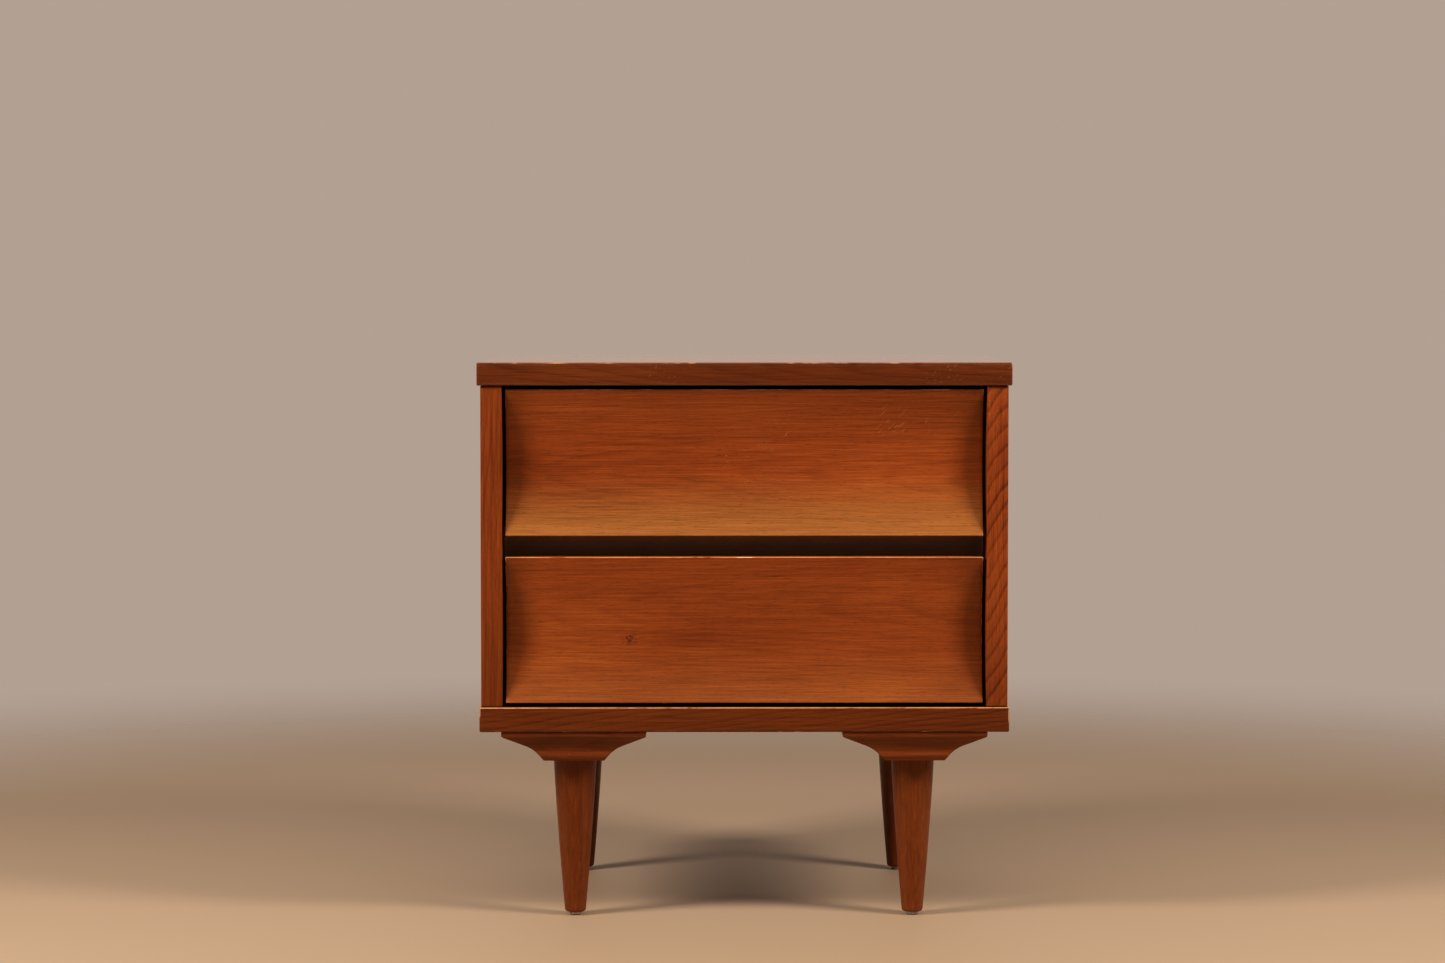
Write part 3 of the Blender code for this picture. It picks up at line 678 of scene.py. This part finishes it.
def hidden_boards():
    """The boards inside and behind, and the bolts, which keep their CAD shapes."""
    for number, node in enumerate(sorted(frame["nodes"])):
        piece = frame["nodes"][node]
        if piece.hide_render:
            continue
        if "bolt" in node:
            piece.data.materials.clear()
            piece.data.materials.append(metal(f"steel_{node}", STEEL))
            continue
        looks = (look for words, *look in BOARDS if any(word in node for word in words))
        along, tones, roughness = next(looks)
        eased_board(node, plain_wood(node, along, BOARD_SEED + number, tones, roughness))


# Materials


class Graph:
    """Short calls for the nodes of one material or world. A socket takes a number or a link."""

    def __init__(self, owner):
        if isinstance(owner, str):
            owner = bpy.data.materials.new(owner)
        owner.use_nodes = True
        self.material = owner
        self.tree = owner.node_tree
        self.shader = self.tree.nodes.get("Principled BSDF")

    def add(self, kind, inputs=(), output=0, **settings):
        node = self.tree.nodes.new("ShaderNode" + kind)
        for key, value in settings.items():
            setattr(node, key, value)
        for socket, value in dict(inputs).items():
            self.set(node.inputs[socket], value)
        return node.outputs[output]

    def set(self, socket, value):
        if isinstance(value, bpy.types.NodeSocket):
            self.tree.links.new(value, socket)
        else:
            if socket.type == "RGBA" and len(value) == 3:
                value = (*value, 1)
            socket.default_value = value

    def math(self, operation, a, b=0.0, c=0.0, clamp=False):
        return self.add("Math", {0: a, 1: b, 2: c}, operation=operation, use_clamp=clamp)

    def vector(self, operation, a, b=(0, 0, 0)):
        output = 1 if operation == "LENGTH" else 0
        return self.add("VectorMath", {0: a, 1: b}, output, operation=operation)

    def place(self, axis=None):
        """The place on the piece in the model's frame, or one of its coordinates."""
        place = self.add("TexCoord", output=3)
        return place if axis is None else self.add("SeparateXYZ", {0: place}, axis)

    def noise(self, place, scale, detail=2.0, roughness=0.5, distortion=0.0):
        inputs = {"Vector": place, "Scale": scale, "Detail": detail}
        inputs.update({"Roughness": roughness, "Distortion": distortion})
        return self.add("TexNoise", inputs)

    def streaks(self, place, along, across, detail, roughness, distortion=0.0):
        """Noise stretched along the grain, with that many features a metre each way."""
        stretched = self.vector("MULTIPLY", place, (along, across, across))
        return self.noise(stretched, 1, detail, roughness, distortion)

    def span(self, value, start, end, first=0.0, last=1.0, smooth=True):
        """Maps a value from start..end to first..last, and holds it there beyond them."""
        kind = "SMOOTHSTEP" if smooth else "LINEAR"
        inputs = {0: value, 1: start, 2: end, 3: first, 4: last}
        return self.add("MapRange", inputs, interpolation_type=kind)

    def ramp(self, factor, stops, interpolation="EASE"):
        """Maps a factor through (place, grey or colour) stops."""
        output = self.add("ValToRGB", {0: factor})
        ramp = output.node.color_ramp
        ramp.interpolation = interpolation
        while len(ramp.elements) < len(stops):
            ramp.elements.new(1)
        for element, (place, value) in zip(ramp.elements, stops):
            element.position = place
            colour = value if isinstance(value, tuple) else (value,) * 3
            element.color = (*colour, 1)
        return output

    def mix(self, factor, a, b):
        output = self.add("Mix", output=2, data_type="RGBA")
        inputs = output.node.inputs
        self.set(inputs[0], factor)
        self.set(inputs[6], a)
        self.set(inputs[7], b)
        return output

    def finish(self, colour, roughness, height, strength, **constants):
        self.set(self.shader.inputs["Base Color"], colour)
        self.set(self.shader.inputs["Roughness"], roughness)
        bump = self.add("Bump", {"Strength": strength, "Distance": 0.001, "Height": height})
        self.set(self.shader.inputs["Normal"], bump)
        for name, value in constants.items():
            self.shader.inputs[name.replace("_", " ")].default_value = value
        return self.material


def grain_place(graph, along, seed):
    """Coordinates with the grain running along X, shifted so that no two pieces match."""
    shift = (seed * SEED_SHIFT, 0, 0)
    inputs = {"Vector": graph.place(), "Rotation": GRAIN_TURN[along], "Location": shift}
    return graph.add("Mapping", inputs)


def growth_rings(graph, place, node, along, heart, seed, figure, year, tilt):
    """What the growth rings add to the tone: zero between them and less than zero on them.

    They follow the distance from the log's heart, which wanders and tapers. heart says how far it
    is from the piece's middle, and how far behind its front. Within BANDING of the front the rings
    are year apart, slant by tilt and darken by figure. Elsewhere they are YEAR apart, straight,
    and no stronger than QUIET_FIGURE.
    """
    low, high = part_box(node)
    middle = Euler(GRAIN_TURN[along]).to_matrix() @ ((low + high) / 2)
    lengthwise, depth, across = graph.add("SeparateXYZ", {0: place}).node.outputs
    lengthwise = graph.math("SUBTRACT", lengthwise, middle.x + seed * SEED_SHIFT)
    banding = graph.math("LESS_THAN", depth, low.y + BANDING)

    wander = graph.math("SUBTRACT", graph.streaks(place, 1.3, 9, 2, 0.45), 0.5)
    ripple = graph.math("SUBTRACT", graph.streaks(place, 7, 60, 2, 0.5), 0.5)
    away = graph.math("SUBTRACT", across, middle.z + heart[0])
    away = graph.math("MULTIPLY_ADD", wander, 0.05, away)
    away = graph.math("MULTIPLY_ADD", graph.math("MULTIPLY", lengthwise, banding), tilt, away)
    deep = graph.math("SUBTRACT", depth, low.y + heart[1])
    deep = graph.math("MULTIPLY_ADD", lengthwise, 0.06, deep)
    squares = graph.math("MULTIPLY_ADD", deep, deep, graph.math("MULTIPLY", away, away))
    distance = graph.math("MULTIPLY_ADD", ripple, year, graph.math("SQRT", squares))

    per_metre = graph.math("MULTIPLY_ADD", banding, 1 / year - 1 / YEAR, 1 / YEAR)
    count = graph.math("MULTIPLY", distance, per_metre)
    within = [(0.0, 0.0), (0.55, 0.25), (0.86, 1.0), (1.0, 0.0)]
    ring = graph.ramp(graph.math("FRACT", count), within)
    vigour = graph.noise(graph.add("CombineXYZ", {0: count}), 0.35, 2, 0.6)
    ring = graph.math("MULTIPLY", ring, graph.math("MULTIPLY_ADD", vigour, 1.6, -0.35, True))
    quiet = min(figure, QUIET_FIGURE)
    strength = graph.math("MULTIPLY_ADD", banding, quiet - figure, -quiet)
    return graph.math("MULTIPLY", ring, strength)


def painted_tones(graph, colour, tone, band, node, veneer_and_sheen, painted_end_shadow, painted_top_light, shade):
    """Broad tones laid over the wood: a golden lower half, partly paler veneer and partly painted
    sheen, ends darkened by a painted shadow of the side panels, a top made lighter by painted light and
    a bottom made darker by painted shade."""
    low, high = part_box(node)
    middle = (low + high) / 2
    # Golden lower half: partly paler veneer, partly a painted sheen of the light from above
    if veneer_and_sheen:
        height = graph.math("SUBTRACT", band, 0.5)
        height = graph.math("MULTIPLY_ADD", height, 0.03, graph.place(2))
        veneer_and_sheen_share = graph.span(height, middle.z - 0.005, low.z + 0.005, 0.0, veneer_and_sheen)
        colour = graph.mix(veneer_and_sheen_share, colour, graph.ramp(tone, VENEER_AND_SHEEN_TONES, "LINEAR"))
    # Painted shadow of the side panels over the ends, fading out towards the lower lip
    if painted_end_shadow:
        half = (high.x - low.x) / 2
        from_middle = graph.math("ABSOLUTE", graph.math("SUBTRACT", graph.place(0), middle.x))
        end_shadow = graph.span(from_middle, half - END_SHADOW_REACH, half, 0.0, painted_end_shadow)
        end_shadow = graph.math("MULTIPLY", end_shadow, graph.span(graph.place(2), low.z, middle.z))
        colour = graph.mix(end_shadow, colour, END_SHADOW_COLOUR)
    # Painted light: the top made lighter
    if painted_top_light:
        lighter = graph.vector("MULTIPLY", colour, (1 + painted_top_light,) * 3)
        colour = graph.mix(graph.span(graph.place(2), middle.z, high.z), colour, lighter)
    # Painted shade: darker towards the bottom
    if shade:
        dim = graph.span(graph.place(2), low.z, middle.z, shade, 0.0)
        colour = graph.mix(dim, colour, SHADE_COLOUR)
    return colour


def knot(graph, colour, node, share_x, share_z):
    """Adds a small dark swirl at a place on the piece's front, as shares of its width and height."""
    low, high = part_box(node)
    spot = (low.x + (high.x - low.x) * share_x, 0, low.z + (high.z - low.z) * share_z)
    offset = graph.vector("SUBTRACT", graph.place(), spot)
    reach = graph.vector("LENGTH", graph.vector("MULTIPLY", offset, (1, 0, 1.3)))
    near = graph.span(reach, 0.012, 0.003, 0.0, 0.75, smooth=False)
    swirl = graph.noise(offset, 260, 2, 0.6, 1.5)
    swirl = graph.ramp(swirl, [(0.0, 1.0), (0.42, 1.0), (0.56, 0.0)])
    return graph.mix(graph.math("MULTIPLY", near, swirl), colour, KNOT_COLOUR)


def flecks_and_scratches(graph, place):
    """1 at small specks and fine slanting scratches in the lacquer."""
    fleck = graph.add("TexVoronoi", {"Vector": place, "Scale": 34.0}).node
    near = graph.math("LESS_THAN", fleck.outputs["Distance"], 0.035)
    some = graph.add("SeparateColor", {0: fleck.outputs["Color"]})
    flecks = graph.math("MULTIPLY", near, graph.math("GREATER_THAN", some, 0.965))
    slanted = graph.add("Mapping", {"Vector": place, "Rotation": (0.3, 0.7, 0.4)})
    scratch = graph.streaks(slanted, 45, 1300, 1, 0.5)
    scratch = graph.ramp(scratch, [(0.0, 0.0), (0.70, 0.0), (0.76, 1.0)])
    patch = graph.ramp(graph.noise(place, 11), [(0.58, 0.0), (0.68, 0.5)])
    return graph.math("MAXIMUM", flecks, graph.math("MULTIPLY", scratch, patch))


def rubbed_edges(graph, place, edge, node, worn):
    """1 where an edge is rubbed bare, in patches, and less often towards the piece's bottom."""
    low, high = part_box(node)
    rub = graph.streaks(place, 60, 90, 3, 0.6)
    rub = graph.math("MULTIPLY_ADD", rub, 2.2, worn - 1.1 - 0.75)
    rub = graph.math("MULTIPLY_ADD", edge, 0.75, rub)
    upper = graph.span(graph.place(2), low.z, high.z, -0.55, 0.0, smooth=False)
    rub = graph.math("ADD", rub, upper)
    rub = graph.ramp(rub, [(0.0, 0.0), (0.30, 0.0), (0.50, 1.0)])
    return graph.math("MULTIPLY", rub, edge)


def walnut(node, along, heart, seed, worn=0.3, bright=1.0, figure=0.25, coat=0.0, veneer_and_sheen=0.0,
           painted_end_shadow=0.0, knots=(), year=YEAR, tilt=0.0, shade=0.0, painted_top_light=0.0):
    """Satin lacquered walnut. bright scales its colours, worn says how readily its edges are
    rubbed bare and coat is its clear coat. growth_rings and painted_tones tell the rest."""
    graph = Graph(f"walnut_{node}")
    place = grain_place(graph, along, seed)
    rings = growth_rings(graph, place, node, along, heart, seed, figure, year, tilt)
    fibre = graph.streaks(place, 14, 900, 3, 0.7)
    band = graph.streaks(place, 2.2, 150, 4, 0.65)
    blotch = graph.streaks(place, 3.5, 10, 2, 0.5)
    pore = graph.streaks(place, 110, 2600, 1, 0.5)
    pore = graph.ramp(pore, [(0.0, 0.0), (0.60, 0.0), (0.72, 1.0)])

    tone = 0.5
    for streak, amount in ((band, 0.5), (fibre, 1.2), (blotch, 0.75)):
        tone = graph.math("MULTIPLY_ADD", graph.math("SUBTRACT", streak, 0.5), amount, tone)
    tone = graph.math("ADD", rings, tone, clamp=True)
    stops = [(at, tuple(c * bright for c in colour)) for at, colour in WALNUT]
    colour = graph.ramp(tone, stops, "LINEAR")
    colour = painted_tones(graph, colour, tone, band, node, veneer_and_sheen, painted_end_shadow, painted_top_light, shade)
    colour = graph.mix(graph.math("MULTIPLY", pore, 0.55), colour, PORE_COLOUR)
    for share_x, share_z in knots:
        colour = knot(graph, colour, node, share_x, share_z)

    edge = graph.add("Attribute", output=2, attribute_name="edge")
    rubbed = rubbed_edges(graph, place, edge, node, worn)
    bare = graph.math("MAXIMUM", flecks_and_scratches(graph, place), rubbed, clamp=True)
    bare_colour = graph.mix(fibre, *BARE_COLOURS)
    chipped = graph.math("SUBTRACT", edge, CHIP_MARK, clamp=True)
    colour = graph.mix(bare, colour, graph.mix(chipped, bare_colour, CHIP_COLOUR))

    smudge = graph.noise(place, 14, 3, 0.6)
    roughness = graph.math("MULTIPLY_ADD", smudge, 0.16, 0.32)
    roughness = graph.math("MULTIPLY_ADD", pore, 0.12, roughness)
    roughness = graph.math("MULTIPLY_ADD", bare, 0.25, roughness, True)
    height = graph.math("MULTIPLY_ADD", pore, -0.10, graph.math("MULTIPLY", fibre, 0.06))
    height = graph.math("MULTIPLY_ADD", bare, -0.15, height)
    gloss = {"Coat_Weight": coat, "Coat_Roughness": 0.15}
    gloss.update({"Specular_IOR_Level": 0.5, "Specular_Tint": GOLDEN})
    return graph.finish(colour, roughness, height, 0.35, **gloss)


def box_edges(graph, node, reach=0.0016):
    """1 along the edges of a board's bounding box and 0 a little way from them."""
    low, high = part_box(node)
    near = []
    for axis in range(3):
        middle, half = (low[axis] + high[axis]) / 2, (high[axis] - low[axis]) / 2
        away = graph.math("ABSOLUTE", graph.math("SUBTRACT", graph.place(axis), middle))
        near.append(graph.span(away, half - reach, half, smooth=False))
    pairs = [graph.math("MULTIPLY", near[i], near[(i + 1) % 3]) for i in range(3)]
    return graph.math("MAXIMUM", graph.math("MAXIMUM", pairs[0], pairs[1]), pairs[2])


def plain_wood(node, along, seed, tones, roughness):
    """Bare or sealed board: straight rings, fibres and short pores, with rubbed edges."""
    pale, dark = tones
    graph = Graph(f"wood_{node}")
    place = grain_place(graph, along, seed)
    ring = graph.streaks(place, 0.8, 1 / BOARD_BAND, 3, 0.6, 0.2)
    fibre = graph.streaks(place, 12, 500, 3, 0.6)
    pore = graph.streaks(place, 160, 1900, 1, 0.5)
    pore = graph.ramp(pore, [(0.0, 0.0), (0.60, 0.0), (0.74, 1.0)])
    tone = graph.math("MULTIPLY_ADD", graph.math("SUBTRACT", fibre, 0.5), 0.5, ring)
    colour = graph.ramp(tone, [(0.30, dark), (0.70, pale)], "LINEAR")
    pore_colour = tuple(c * 0.45 for c in dark)
    colour = graph.mix(graph.math("MULTIPLY", pore, 0.35), colour, pore_colour)
    stain = graph.ramp(graph.noise(place, 6, 3, 0.55), [(0.52, 0.0), (0.80, 0.5)])
    colour = graph.mix(stain, colour, tuple(c * 0.8 for c in dark))
    rub = graph.ramp(graph.noise(place, 70, 3, 0.6), [(0.35, 0.0), (0.60, 0.8)])
    rub = graph.math("MULTIPLY", box_edges(graph, node), rub)
    colour = graph.mix(rub, colour, tuple(min(1, c * 1.5) for c in pale))
    rough = graph.math("MULTIPLY_ADD", fibre, 0.2, roughness - 0.1, True)
    rough = graph.math("MULTIPLY_ADD", rub, -0.15, rough)
    height = graph.math("MULTIPLY_ADD", pore, -0.2, graph.math("MULTIPLY", fibre, 0.2))
    return graph.finish(colour, rough, height, 0.4)


def metal(name, colours):
    """Plated metal with fine scratches and dulled patches."""
    graph = Graph(name)
    place = graph.place()
    patch = graph.noise(place, 350, 4, 0.65)
    scratch = graph.noise(graph.vector("MULTIPLY", place, (4000, 250, 4000)), 1, 2, 0.6)
    colour = graph.mix(graph.ramp(patch, [(0.35, 0.0), (0.75, 1.0)]), *colours)
    rough = graph.math("MULTIPLY_ADD", patch, 0.35, 0.2, True)
    return graph.finish(colour, rough, scratch, 0.15, Metallic=1.0)


def nylon(name):
    graph = Graph(name)
    patch = graph.noise(graph.place(), 300, 3, 0.6)
    colour = graph.mix(patch, (0.62, 0.58, 0.48), (0.78, 0.75, 0.66))
    rough = graph.math("MULTIPLY_ADD", patch, 0.25, 0.3)
    return graph.finish(colour, rough, patch, 0.15, Subsurface_Weight=0.1)


# Stage


def camera():
    lens = bpy.data.cameras.new("camera")
    lens.sensor_width = SENSOR
    lens.lens = LENS
    lens.clip_end = 100
    made = bpy.data.objects.new("camera", lens)
    made.location = CAMERA_PLACE
    made.rotation_euler = (math.pi / 2 - CAMERA_DIP, 0, -CAMERA_YAW)
    bpy.context.scene.collection.objects.link(made)
    bpy.context.scene.camera = made


def floor():
    """A plain floor that fades out some way from the object."""
    mesh = bpy.data.meshes.new("floor")
    r = FLOOR_REACH
    mesh.from_pydata([(-r, -r, 0), (r, -r, 0), (r, r, 0), (-r, r, 0)], [], [(0, 1, 2, 3)])
    graph = Graph("floor")
    place = graph.place()
    cloud = graph.noise(place, 1.5, 3, 0.5)
    shade = graph.mix(cloud, FLOOR_COLOUR, tuple(c * 0.94 for c in FLOOR_COLOUR))
    grit = graph.noise(place, 220, 2, 0.5)
    material = graph.finish(shade, 0.6, grit, 0.05)
    away = graph.vector("LENGTH", graph.vector("MULTIPLY", place, (1, 1, 0)))
    graph.set(graph.shader.inputs["Alpha"], graph.span(away, *FLOOR_FADE, 1.0, 0.0))
    mesh.materials.append(material)
    made = bpy.data.objects.new("floor", mesh)
    bpy.context.scene.collection.objects.link(made)


def area_light(name, azimuth, elevation, distance, size, power):
    """A softbox aimed at the object, with azimuth 0 in front of it and 90 to its right."""
    a, e = math.radians(azimuth), math.radians(elevation)
    out = Vector((math.sin(a) * math.cos(e), -math.cos(a) * math.cos(e), math.sin(e)))
    data = bpy.data.lights.new(name, "AREA")
    data.shape = "RECTANGLE"
    data.size, data.size_y = size
    data.energy = power
    data.color = WARM
    made = bpy.data.objects.new(name, data)
    made.location = LIGHT_TARGET + out * distance
    made.rotation_euler = (LIGHT_TARGET - made.location).to_track_quat("-Z", "Y").to_euler()
    bpy.context.scene.collection.objects.link(made)


def room():
    """A plain room: dim in front, bright behind, and as bright as the wall to the camera."""
    world = bpy.data.worlds.new("studio")
    bpy.context.scene.world = world
    graph = Graph(world)
    behind = graph.add("SeparateXYZ", {0: graph.add("TexCoord", output=0)}, 1)
    sheen = graph.span(behind, *ROOM_TURN, ROOM_FRONT, ROOM_BEHIND, smooth=False)
    fill = graph.span(behind, *ROOM_TURN, FILL_FRONT, FILL_BEHIND, smooth=False)
    diffuse = graph.add("LightPath", output="Is Diffuse Ray")
    glow = graph.math("MULTIPLY_ADD", diffuse, graph.math("SUBTRACT", fill, sheen), sheen)
    seen = graph.add("LightPath", output="Is Camera Ray")
    strength = graph.math("MULTIPLY_ADD", seen, graph.math("SUBTRACT", 1.0, glow), glow)
    back = graph.tree.nodes["Background"]
    graph.set(back.inputs["Color"], WALL_COLOUR)
    graph.set(back.inputs["Strength"], strength)


def main():
    slabs()
    side_panels()
    drawer_fronts()
    leg_blocks()
    legs()
    screws()
    glides_and_tacks()
    hidden_boards()
    camera()
    floor()
    area_light("left_light", -61, 33, 2.5, SIDE_BOX, 52)
    area_light("right_light", 61, 32, 2.5, SIDE_BOX, 50)
    area_light("front_light", -4, 55, 2.8, FRONT_BOX, 12)
    room()
    bpy.context.scene.view_settings.view_transform = "Standard"
    bpy.context.scene.view_settings.look = "Medium High Contrast"


main()
